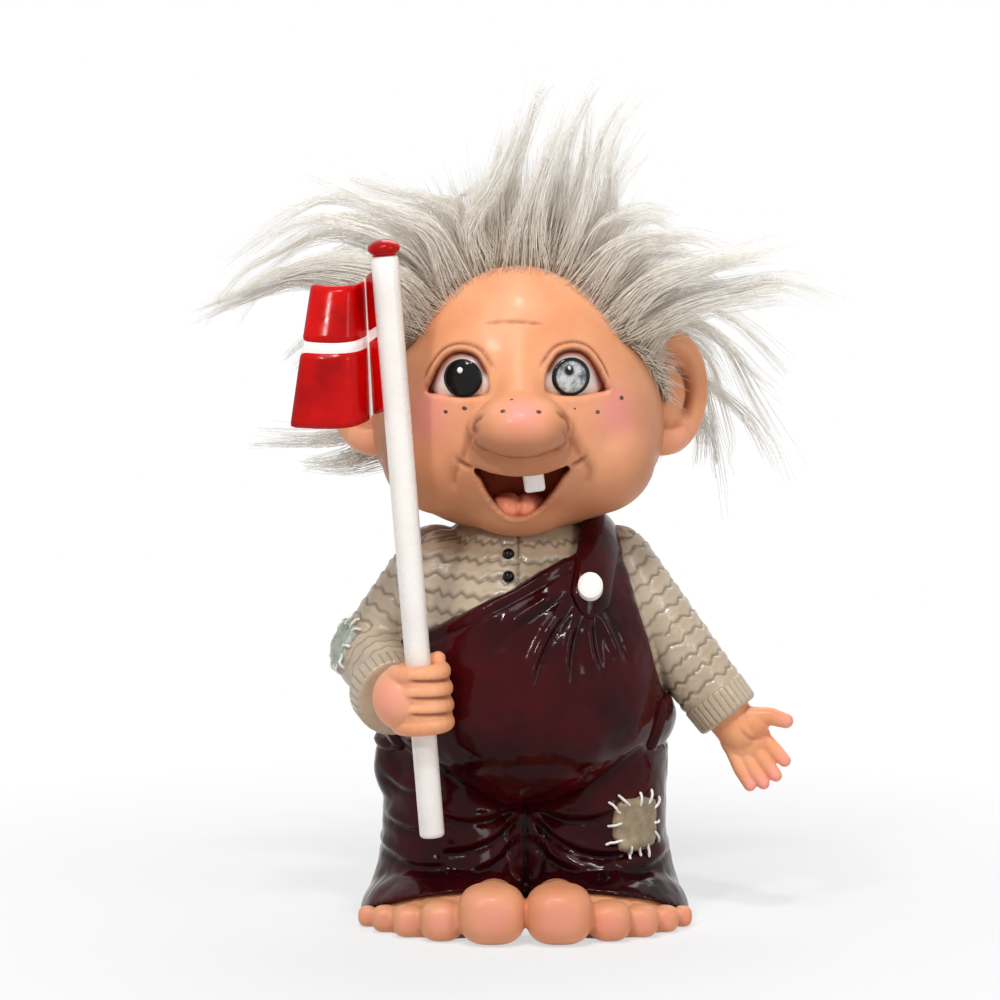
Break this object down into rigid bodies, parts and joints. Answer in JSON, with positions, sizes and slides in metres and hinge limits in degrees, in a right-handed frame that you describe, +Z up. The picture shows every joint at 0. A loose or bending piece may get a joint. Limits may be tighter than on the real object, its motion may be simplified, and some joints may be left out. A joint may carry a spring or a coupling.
{
  "type": "troll figure",
  "caption": "Standing folk troll boy with a fur wig, bulb nose and open smile, in sweater and slant-bib overalls; a flag on a pole pulls up out of the closed fist.",
  "frame": {"origin": "on the floor, in the flat sole, under the middle of the trunk", "axes": "+Z up, the figure faces -Y, +X to the viewer's right, which is the troll's own left hand"},
  "size_m": [0.1159, 0.0814, 0.1488],
  "materials": {
    "skin": "cast resin, painted and varnished",
    "eye_black": "high gloss",
    "eye_silver": "high gloss, silvery with dark specks",
    "tongue": "cast resin, painted and varnished",
    "white_paint": "gloss paint",
    "wig_cloth": "woven backing of the fur",
    "fur": "long soft pile",
    "sweater": "cast resin, painted and varnished",
    "overalls": "cast resin, dark gloss paint",
    "knee_patch": "cast resin, painted",
    "elbow_patch": "cast resin, painted",
    "red_paint": "gloss paint"
  },
  "bodies": {
    "figure": {"head": "skin", "left_ear": "skin", "right_ear": "skin", "left_hand": "skin", "right_hand": "skin", "feet": "skin", "right_iris": "eye_black", "shirt_buttons": "eye_black", "left_iris": "eye_silver", "tongue": "tongue", "left_eye": "white_paint", "right_eye": "white_paint", "tooth": "white_paint", "strap_button": "white_paint", "wig_backing": "wig_cloth", "fur": "fur", "fur_locks": "fur", "sweater_body": "sweater", "left_sleeve": "sweater", "right_sleeve": "sweater", "left_cuff": "sweater", "right_cuff": "sweater", "overalls": "overalls", "shoulder_strap": "overalls", "left_pocket": "overalls", "right_pocket": "overalls", "knee_patch": "knee_patch", "elbow_patch": "elbow_patch"},
    "flag_staff": {"flag_pole": "white_paint", "pole_finial": "red_paint", "flag": "red_paint"}
  },
  "joints": [
    {"name": "flag_lift", "type": "slide", "parent": "figure", "child": "flag_staff", "axis": [-0.0793, 0, 0.9968], "range_m": [0, 0.03]}
  ]
}
